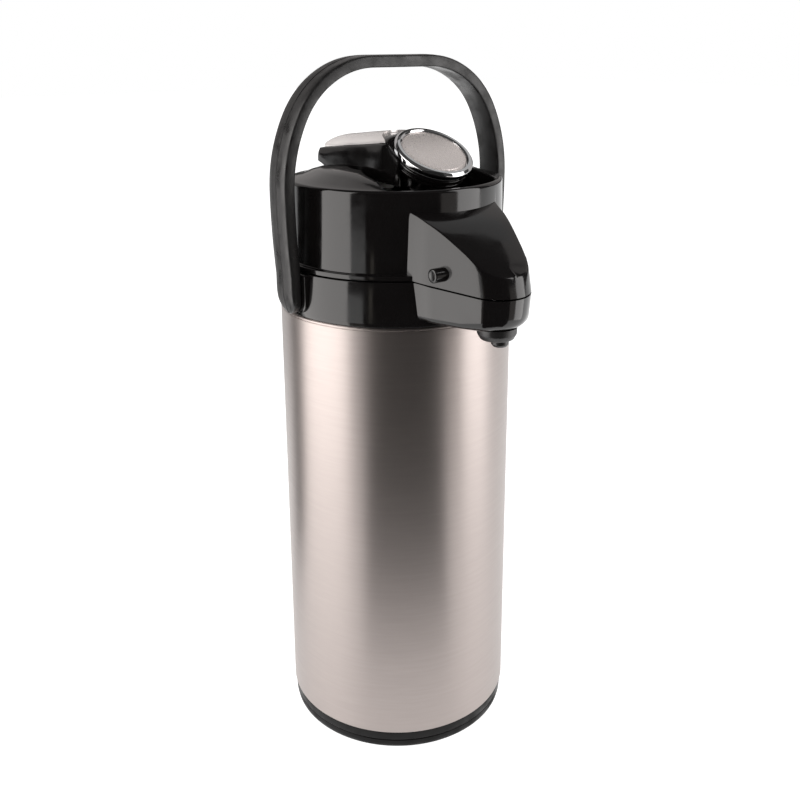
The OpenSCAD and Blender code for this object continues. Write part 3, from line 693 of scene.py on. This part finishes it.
# ---------------------------------------------------------------- lid

def well_edge(count):
    """Outline of the lever's well by angle about the body's axis."""
    front = RIM_R - 3.6
    half = [(27.5, 63.5, 7), (28.6, 36, 30), (31, 10, 40), (34.5, -12, 30), (40.5, -36, 30)]
    edge_x = 44.5
    half.append((edge_x, -math.sqrt(front ** 2 - edge_x ** 2), 5))
    arc = []
    start = math.asin(edge_x / front)
    for k in range(1, 16):
        t = start * (1 - 2 * k / 16)
        arc.append((front * math.sin(t), -front * math.cos(t), 0))
    outline = rounded(half + arc + [(-x, y, r) for x, y, r in half[::-1]], 6)
    polar = sorted((math.atan2(y, x) % (2 * math.pi), math.hypot(x, y)) for x, y in outline)
    polar = [(polar[-1][0] - 2 * math.pi, polar[-1][1])] + polar + [(polar[0][0] + 2 * math.pi, polar[0][1])]
    return [along(polar, 2 * math.pi * k / count) for k in range(count)]


def crown_height(radius):
    return RIM_Z + CROWN * (1 - (min(radius, 70) / 70) ** 3)


def make_lid():
    count = 288
    edge = well_edge(count)
    outer = rounded([(FLANGE_R - 6, LID_Z0, 0), (FLANGE_R, LID_Z0, 0.4), (FLANGE_R, LID_Z0 + 3.2, 0.7),
                     (LID_R + 0.1, LID_Z0 + 3.4, 0.6), (RIM_R, RIM_Z, 2.4),
                     (RIM_R - 5, RIM_Z + 0.3, 0)], 6)[:-1]
    rows = [[] for _ in range(len(outer) + 4 + 6 + 6 + 8)]
    for k in range(count):
        t = 2 * math.pi * k / count
        c, s = math.cos(t), math.sin(t)
        column = [(r, z) for r, z in outer]
        last = column[-1]
        lip = edge[k]
        for j in range(1, 5):
            r = last[0] + (lip + WELL_LIP - last[0]) * j / 4
            blend = min(1, j / 2)
            column.append((r, last[1] + (crown_height(r) - last[1]) * blend))
        top = column[-1][1]
        for j in range(1, 7):
            a = math.pi / 2 * j / 6
            column.append((lip + WELL_LIP * (1 - math.sin(a)), top - WELL_LIP * (1 - math.cos(a))))
        points = [(r * c, r * s, z) for r, z in column]
        x, y = lip * c, lip * s
        floor = floor_height(y)
        wall_top = points[-1][2]
        for j in range(1, 7):
            points.append((x, y, wall_top + (floor - wall_top) * j / 6))
        for j in range(1, 9):
            q = j / 8
            px = x * (1 - q) + POST_WELL_R * c * q
            py = y * (1 - q) + (PUMP_Y + POST_WELL_R * s) * q
            points.append((px, py, floor_height(py)))
        for row, p in zip(rows, points):
            row.append(p)
    skin = loft("lid_body", rows, True, angle=SKIN_ANGLE)
    lid = thicken(skin, SKIN_WALL, SKIN_ANGLE)
    combine(lid, make_upper_hood(), "UNION", SKIN_ANGLE)
    for sign in (-1, 1):
        y, z = middle("lever_pin")
        base = RIM_Z - 9.5
        outline = rounded([(y - 4, base, 0), (y + 4, base, 0), (y + 4, z + 4, 3.9), (y - 4, z + 4, 3.9)], 8)
        add_eye(lid, sign * 13, sign * 18, outline, PIN_BORE_R, y, z)
    add_lid_knuckle(lid)
    y, z = middle("button_l")
    for sign in (-1, 1):
        x0, x1 = sorted((sign * 20, sign * 45))
        combine(lid, rod_x("bore", BUTTON_BORE_R, x0, x1, y, z, 0), "DIFFERENCE", SKIN_ANGLE)
    place(lid, "lid", "black_gloss", "lid_shell")


def floor_height(y):
    """Floor of the well: a deck under the paddle that slopes to a pit under the head."""
    slope = min(1, max(0, (4 - y) / 17))
    return RIM_Z - 9 - 4.5 * slope - 14.8 * ease((-13 - y) / 6)


def add_lid_knuckle(lid):
    """Arm at the back of the lid that takes the hinge pin."""
    y, z = middle("hinge_pin")
    outline = rounded([(LID_R - 1.2, LID_Z0 + 0.2, 0), (y - 2, LID_Z0 + 0.2, 0.5), (y - 1, z - 4.5, 1),
                       (y + 4.5, z - 4.5, 4.2), (y + 4.5, z + 4.5, 4.2), (y - 3, z + 4.3, 2),
                       (LID_R - 1.2, z + 5, 0)], 6)
    add_eye(lid, -11.5, 11.5, outline, PIN_LOOSE_R, y, z)


# ---------------------------------------------------------------- lever

# The paddle's section along its length: heights of its top and skirt, and its half widths there
TOP_LINE = [(64, RIM_Z + 15.4), (47.5, RIM_Z + 16.9), (24, RIM_Z + 19.7), (-1, RIM_Z + 22.4),
            (-33, RIM_Z + 26.3)]
SKIRT_LINE = [(64.5, RIM_Z + 7.0), (57, RIM_Z + 5.2), (45, RIM_Z + 1.8), (30, RIM_Z + 0.6), (4, RIM_Z + 1.5),
              (-13, RIM_Z + 1.0), (-41, RIM_Z + 0.4)]
TOP_WIDTH = [(64, 22.4), (40, 23), (0, 23.6), (-20, 24.6), (-41, 26)]
SKIRT_WIDTH = [(64, 24), (30, 24.9), (0, 26), (-20, 27.6), (-41, 28.6)]


def under_head(y):
    """Height just under the head's bezel, along the middle."""
    return HEAD_Z + (y - HEAD_Y) * math.tan(HEAD_TILT) - 6.5


def make_paddle():
    tail, front = 64.5, -41.0
    rows = []
    steps = 40
    for i in range(steps + 1):
        t = i / steps
        y = tail + (front - tail) * t
        close = max(0, 1 - (tail - y) / 4)
        shrink = 1 - math.sqrt(max(0, 1 - close * close))
        wt = smooth_along(TOP_WIDTH, y) - 4 * shrink
        wb = smooth_along(SKIRT_WIDTH, y) - 4 * shrink
        zt = min(smooth_along(TOP_LINE, y), under_head(y) + (8 if y > -20 else 0)) - 3.2 * shrink
        zb = smooth_along(SKIRT_LINE, y)
        half = [(wb, zb), (wb - 0.1, zb + 1.5)]
        for k in range(1, 5):
            q = k / 5
            half.append((wb + (wt - wb) * q + 0.5 * math.sin(math.pi * q), zb + (zt - zb) * q))
        half += [(wt + 0.15, zt - 1.4), (wt - 0.1, zt - 0.5), (wt - 0.7, zt - 0.08), (wt - 1.6, zt)]
        rise = 0.2 + 6.2 * ease((3 - y) / 3)
        half += [((wt - 1.6) * math.cos(math.pi / 2 * k / 9), zt + rise * math.sin(math.pi / 2 * k / 9))
                 for k in range(1, 10)]
        row = [(x, y, z) for x, z in half] + [(-x, y, z) for x, z in half[-2::-1]]
        rows.append(row)
    end = [(x * 0.93, y + 0.5, z + 0.2) for x, y, z in rows[0]]
    skin = close_tail(loft("paddle", [end] + rows, angle=SKIN_ANGLE), end)
    paddle = thicken(skin, SKIN_WALL, SKIN_ANGLE)
    for r, z0, z1 in ((HEAD_R - 1.5, -30, 30), (HEAD_R + 0.4, -4.5, 30)):
        combine(paddle, at_head(lathe("cutter", [(0, z0), (r, z0), (r, z1), (0, z1)], segments=96)),
                "DIFFERENCE", SKIN_ANGLE)
    y, z = middle("lever_pin")
    for sign in (-1, 1):
        outline = rounded([(y - 4.5, z - 4.5, 4.3), (y + 4.5, z - 4.5, 4.3), (y + 4.5, z + 5.5, 0),
                           (y - 4.5, z + 5.5, 0)], 8)
        add_eye(paddle, sign * 19.2, sign * 22.6, outline, PIN_LOOSE_R, y, z)
    place(paddle, "lever", "black_gloss", "lever_shell")


def close_tail(skin, end):
    """Closes the paddle's back end with one face across its first row."""
    bm = bmesh.new()
    bm.from_mesh(skin.data)
    bm.verts.ensure_lookup_table()
    wanted = [Vector(p) * MM for p in end]
    ring = []
    for p in wanted:
        ring.append(min(bm.verts, key=lambda v: (v.co - p).length_squared))
    bm.faces.new(list(dict.fromkeys(ring)))
    bm.to_mesh(skin.data)
    bm.free()
    return finish_mesh(skin, SKIN_ANGLE)


def make_inlay():
    """Bright crowned cover on the paddle, up to the head's bezel."""
    tail, front = 62.0, -34.0
    rows = []
    steps = 40
    for i in range(steps + 1):
        y = tail + (front - tail) * i / steps
        close = max(0, 1 - (tail - y) / 12)
        swell = math.sqrt(max(0, 1 - close * close))
        w = smooth_along(TOP_WIDTH, y) - 1.0 - 5 * (1 - swell)
        z = smooth_along(TOP_LINE, y) + 0.25
        rise = 0.6 + 6.9 * swell
        half = [(w - 0.3, z), (w, z + 0.3), (w, z + 0.8)]
        half += [(w * math.cos(math.pi / 2 * k / 12), z + 0.8 + rise * math.sin(math.pi / 2 * k / 12))
                 for k in range(1, 13)]
        rows.append([(x, y, zz) for x, zz in half] + [(-x, y, zz) for x, zz in half[-2::-1]])
    cover = loft("paddle_cover", rows, True, ("first", "last"), angle=SKIN_ANGLE)
    turns = [2 * math.pi * k / 128 for k in range(128)]
    ellipse = [(27 * math.cos(t), HEAD_Y + 43.5 * math.sin(t)) for t in turns]
    rows = [[(x, y, z) for x, y in ellipse] for z in (300, 500)]
    combine(cover, loft("cutter", rows, True, ("first", "last")), "DIFFERENCE", SKIN_ANGLE)
    place(cover, "lever", "bright_trim", "lever_inlay")
    dress(cover, "bright_cover")


def make_head():
    r = HEAD_R
    cup = lathe("head_body", rounded([
        (0, -13, 0), (r - 4.6, -13, 1.5), (r - 2.4, -11.8, 0.8), (r - 2.0, -9.8, 0.4), (r - 2.9, -9.4, 0.2),
        (r - 2.9, -8.6, 0.2), (r - 1.4, -8.2, 0.4), (r - 1.5, -6.2, 0.3), (r - 2.4, -5.9, 0.15),
        (r - 2.4, -5.1, 0.15), (r - 4.6, -5.0, 0.2), (r - 4.6, -3.1, 0.2), (r - 5.6, -3.1, 0.2),
        (r - 5.6, -10.6, 0.5), (0, -10.6, 0)], 3), segments=128)
    place(at_head(cup), "lever", "black_gloss", "head_cup")
    ring = lathe("head_bezel", rounded([
        (r - 4.6, -2.5, 0), (r - 4.5, -4.0, 0.3), (r - 0.7, -4.0, 0.5), (r, -3.2, 0.5), (r, -0.5, 0.7),
        (r - 1.5, 1.0, 0.6), (r - 3.4, 1.05, 0.4), (r - 4.6, 0.2, 0.3)], 4), segments=160)
    place(at_head(ring), "lever", "bright_trim", "head_ring")
    d = r - 4.75
    disc = lathe("head_plate", rounded([
        (0, -2.4, 0), (d, -2.4, 0.2), (d, -0.1, 0.35), (d - 1.3, 0.05, 0.2), (d - 1.5, -0.12, 0.1),
        (d - 1.7, 0.1, 0.2), (0, 0.35, 0)], 3), segments=160)
    place(at_head(disc), "lever", "satin_disc", "head_disc")


# ---------------------------------------------------------------- handle

def arch_path():
    """Points of the arch's outer face on the +X side with inward normals, from the top down."""
    top = span("bail_handle")[1].z
    wide = span("bail_handle")[1].x
    r1, r2, r3 = 64, 106.5, 594
    split = math.radians(27)
    c1 = Vector((wide - r2 + (r2 - r1) * math.cos(split), top - r1))
    c2 = Vector((wide - r2, c1.y - (r2 - r1) * math.sin(split)))
    c3 = Vector((wide - r3, c2.y))
    out = [(Vector((c1.x * k / 4, top)), Vector((0, -1))) for k in range(0, 4)]
    for centre, r, a0, a1, n in ((c1, r1, math.pi / 2, split, 24), (c2, r2, split, 0, 12),
                                 (c3, r3, 0, -math.radians(5.2), 12)):
        for k in range(n):
            t = a0 + (a1 - a0) * k / n
            way = Vector((math.cos(t), math.sin(t)))
            out.append((centre + way * r, -way))
    t = -math.radians(5.2)
    way = Vector((math.cos(t), math.sin(t)))
    end = c3 + way * r3
    out.append((end, -way))
    low = span("bail_handle")[0].z
    for k in range(1, 17):
        z = end.y + (low + 0.15 - end.y) * math.sin(math.pi / 2 * k / 16)
        out.append((Vector((end.x, z)), Vector((-1, 0))))
    return out


def make_handle():
    low = span("bail_handle")[0].z
    half_w = span("bail_handle")[1].y
    tip = low + half_w
    clear = BODY_R + 1.1

    def section(p, n):
        z = p.y
        w = half_w
        sink = 0.0
        if z < tip:
            w = math.sqrt(max(half_w ** 2 - (tip - z) ** 2, 0.8))
        if z < tip + 8:
            q = (tip + 8 - z) / (half_w + 8)
            sink = 3.6 * q ** 2.2
        deep = HANDLE_T
        if z < tip + 70:
            deep = min(HANDLE_T, (abs(p.x) - clear) / max(abs(n.x), 0.5))
        outline = rounded([(-w, sink + 0.5, min(1.5, w * 0.4)), (-w * 0.5, sink + 0.12, 4), (-0.8, sink, 0),
                           (-0.25, sink + 0.5, 0), (0.25, sink + 0.5, 0), (0.8, sink, 0),
                           (w * 0.5, sink + 0.12, 4), (w, sink + 0.5, min(1.5, w * 0.4)),
                           (w, deep, min(1.2, w * 0.4)), (-w, deep, min(1.2, w * 0.4))], 3)
        return [(p.x + n.x * d, y, p.y + n.y * d) for y, d in outline]

    right = arch_path()
    left = [(Vector((-p.x, p.y)), Vector((-n.x, n.y))) for p, n in right[1:]]
    rows = [section(p, n) for p, n in left[::-1]] + [section(p, n) for p, n in right]
    handle = loft("carry_handle", rows, True, ("first", "last"), angle=BLEND_ANGLE)
    for sign in (-1, 1):
        x0, x1 = sorted((sign * 72.6, sign * 83))
        combine(handle, rod_x("stud", STUD_R, x0, x1, 0, PIVOT_Z, 0.4), "UNION", SKIN_ANGLE)
    place(handle, "handle", "black_matte", "bail_handle")


# ---------------------------------------------------------------- spout and buttons

def make_nozzle():
    z = HOOD_LOW_Z
    ring = lathe("outlet_ring", rounded([
        (5.6, z - 7.6, 0.3), (8.2, z - 8, 0.6), (10.4, z - 7.6, 1.2), (12.3, z - 4.2, 2.0), (12.5, z, 0.2),
        (5.6, z, 0)], 4), (0, OUTLET_RING_Y), 96)
    bore = lathe("bore", [(0, z - 20), (5.55, z - 20), (5.55, z + 20), (0, z + 20)], (0, OUTLET_Y), 64)
    combine(ring, bore, "DIFFERENCE")
    place(ring, "flask", "black_matte", "nozzle_ring")
    tip = lathe("outlet_tip", rounded([
        (3.2, z - 11.8, 0.3), (4.3, z - 12, 0.5), (5.5, z - 10.4, 1.0), (5.5, z + 3.9, 0.2),
        (4.0, z + 3.9, 0.1), (4.0, z - 5, 0.2), (3.0, z - 5.2, 0.2)], 4), (0, OUTLET_Y), 64)
    place(tip, "flask", "black_matte", "nozzle_tip")


def make_buttons():
    flange_r, flange_in, flange_out = BUTTON_FLANGE
    for side, sign in (("l", -1), ("r", 1)):
        low, high = span("button_" + side)
        y, z = middle("button_" + side)
        tip = max(abs(low.x), abs(high.x))
        stem = min(abs(low.x), abs(high.x))
        profile = rounded([(0, stem, 0), (BUTTON_STEM_R, stem, 0.4), (BUTTON_STEM_R, flange_in, 0.1),
                           (flange_r, flange_in, 0.3), (flange_r, flange_out, 0.3),
                           (BUTTON_R, flange_out + 0.2, 0.2), (BUTTON_R, tip, 0.9), (2.6, tip - 0.1, 0.4),
                           (0, tip - 0.3, 0)], 4)
        button = lathe("release_button_" + side, profile, segments=64)
        turn = Matrix.Rotation(math.pi / 2 * sign, 4, "Y")
        button.data.transform(Matrix.Translation((0, y * MM, z * MM)) @ turn)
        finish_mesh(button)
        place(button, "release_" + side, "black_gloss", "button_" + side)


# ---------------------------------------------------------------- stage, lights and camera

AZIMUTH = math.radians(-35)
PITCH = math.radians(15.16)
YAW = math.radians(0.268)
ROLL = math.radians(-0.313)
CAMERA_BACK = 645
CAMERA_HIGH = 482
LENS = 42.7
LENS_SHIFT = -0.125
LAMP_AIM_Z = 0.22


def place_camera():
    """Camera at the viewing angle of the picture, with the little shift that its framing needs."""
    across = Vector((math.cos(AZIMUTH), math.sin(AZIMUTH), 0))
    ahead = Vector((-math.sin(AZIMUTH), math.cos(AZIMUTH), 0))
    up = Vector((0, 0, 1))
    look = (across * math.sin(YAW) + ahead * math.cos(YAW)) * math.cos(PITCH) - up * math.sin(PITCH)
    right = across * math.cos(YAW) - ahead * math.sin(YAW)
    top = right.cross(look)
    right_r = right * math.cos(ROLL) + top * math.sin(ROLL)
    top_r = top * math.cos(ROLL) - right * math.sin(ROLL)
    data = bpy.data.cameras.new("camera")
    data.sensor_width = 36
    data.lens = LENS
    data.shift_y = LENS_SHIFT
    data.clip_start = 0.01
    data.clip_end = 50
    cam = bpy.data.objects.new("camera", data)
    bpy.context.scene.collection.objects.link(cam)
    turn = Matrix((right_r, top_r, -look)).transposed().to_4x4()
    spot = (ahead * -CAMERA_BACK + up * CAMERA_HIGH) * MM
    cam.matrix_world = Matrix.Translation(spot) @ turn
    bpy.context.scene.camera = cam


def studio_mesh(name, points, colour, emission=0.0, hidden=False):
    """A four-sided or banded sheet of the studio; hidden ones are only met by reflections."""
    width = len(points) // 2
    faces = [(k, k + 1, width + k + 1, width + k) for k in range(width - 1)]
    mesh = bpy.data.meshes.new(name)
    mesh.from_pydata(points, [], faces)
    obj = bpy.data.objects.new(name, mesh)
    bpy.context.scene.collection.objects.link(obj)
    material, _, shader = node_material(name, (0, 0, 0) if hidden else colour, 0.9)
    if emission:
        shader.inputs["Emission Color"].default_value = (*colour, 1)
        shader.inputs["Emission Strength"].default_value = emission
    mesh.materials.append(material)
    if hidden:
        obj.visible_camera = False
        obj.visible_shadow = False
        obj.visible_diffuse = False
        obj.visible_transmission = False
    return obj


def around(azimuth, distance, height):
    """A place at an azimuth to the right of the camera's side, seen from above the object."""
    a = AZIMUTH + math.radians(azimuth)
    return (math.sin(a) * distance, -math.cos(a) * distance, height)


def card(name, start, end, foot, top, emission, colour=(1, 1, 1)):
    """Curved card round the object from azimuth start to end; foot and top are (radius, height)."""
    steps = max(2, int(abs(end - start) / 5))
    places = [start + (end - start) * k / steps for k in range(steps + 1)]
    points = [around(a, *foot) for a in places] + [around(a, *top) for a in places]
    return studio_mesh(name, points, colour if emission else (0.01, 0.01, 0.01), emission, True)


def area_light(name, azimuth, distance, height, width, tall, power):
    """Softbox that lights rough surfaces; the cards stand for it in reflections."""
    data = bpy.data.lights.new(name, "AREA")
    data.shape = "RECTANGLE"
    data.size = width
    data.size_y = tall
    data.energy = power
    lamp = bpy.data.objects.new(name, data)
    lamp.location = around(azimuth, distance, height)
    lamp.rotation_euler = (Vector((0, 0, LAMP_AIM_Z)) - lamp.location).to_track_quat("-Z", "Y").to_euler()
    lamp.visible_glossy = False
    bpy.context.scene.collection.objects.link(lamp)
    return lamp


def make_world():
    """White round the picture, mild on rough surfaces and dim in reflections."""
    world = bpy.data.worlds.new("studio")
    bpy.context.scene.world = world
    world.use_nodes = True
    tree = world.node_tree
    tree.nodes.clear()
    path = tree.nodes.new("ShaderNodeLightPath")
    shades = []
    for strength in (1.0, 0.75, 0.06):
        shade = tree.nodes.new("ShaderNodeBackground")
        shade.inputs["Color"].default_value = (1, 0.985, 0.975, 1) if strength < 1 else (1, 1, 1, 1)
        shade.inputs["Strength"].default_value = strength
        shades.append(shade.outputs[0])
    gloss = tree.nodes.new("ShaderNodeMixShader")
    tree.links.new(path.outputs["Is Glossy Ray"], gloss.inputs[0])
    tree.links.new(shades[1], gloss.inputs[1])
    tree.links.new(shades[2], gloss.inputs[2])
    mix = tree.nodes.new("ShaderNodeMixShader")
    tree.links.new(path.outputs["Is Camera Ray"], mix.inputs[0])
    tree.links.new(gloss.outputs[0], mix.inputs[1])
    tree.links.new(shades[0], mix.inputs[2])
    out = tree.nodes.new("ShaderNodeOutputWorld")
    tree.links.new(mix.outputs[0], out.inputs["Surface"])


def make_studio():
    bpy.context.scene.view_settings.view_transform = "Standard"
    make_world()
    studio_mesh("floor", [(-9, -9, 0), (9, -9, 0), (-9, 9, 0), (9, 9, 0)], (0.5, 0.5, 0.5), 1.7)
    card("left_card", -96, -44, (0.62, 0), (0.66, 1.0), 3.6, (1, 0.97, 0.95))
    card("left_fade", -44, -28, (0.62, 0), (0.66, 0.15), 0.28, (1, 0.9, 0.85))
    card("back_left_card", -165, -116, (0.8, 0), (0.8, 0.42), 0.9)
    card("thin_card", -22.5, -19.5, (0.33, 0.27), (0.33, 0.34), 0.5, (1, 0.93, 0.8))
    card("right_card", 64, 94, (0.62, 0), (0.66, 1.0), 3.4, (1, 0.98, 0.97))
    card("right_fade", 44, 64, (0.62, 0), (0.66, 0.42), 0.5, (1, 0.93, 0.88))
    card("back_card", 115, 245, (1.2, 0.5), (1.2, 1.6), 0.42, (1, 0.95, 0.93))
    card("front_flag", -28, 44, (0.25, 0.004), (0.6, 0.75), 0)
    card("left_flag", -116, -96, (0.3, 0), (0.6, 0.75), 0)
    card("top_card", 128, 180, (0.2, 1.4), (1.3, 1.4), 0.4)
    area_light("left_softbox", -80, 1.1, 0.6, 0.6, 1.1, 8)
    area_light("right_softbox", 75, 1.1, 0.6, 0.5, 1.1, 6)
    area_light("top_softbox", 0, 0.3, 1.6, 1.2, 1.2, 8)


# ---------------------------------------------------------------- build

SLOTS = {part["node"]: part["material_slot"] for part in frame["record"]["subparts"]}
for node, obj in frame["nodes"].items():
    dress(obj, SLOTS[node])

place_camera()
make_studio()
make_base()
make_shell()
make_collar()
make_lid()
make_paddle()
make_inlay()
make_head()
make_handle()
make_nozzle()
make_buttons()
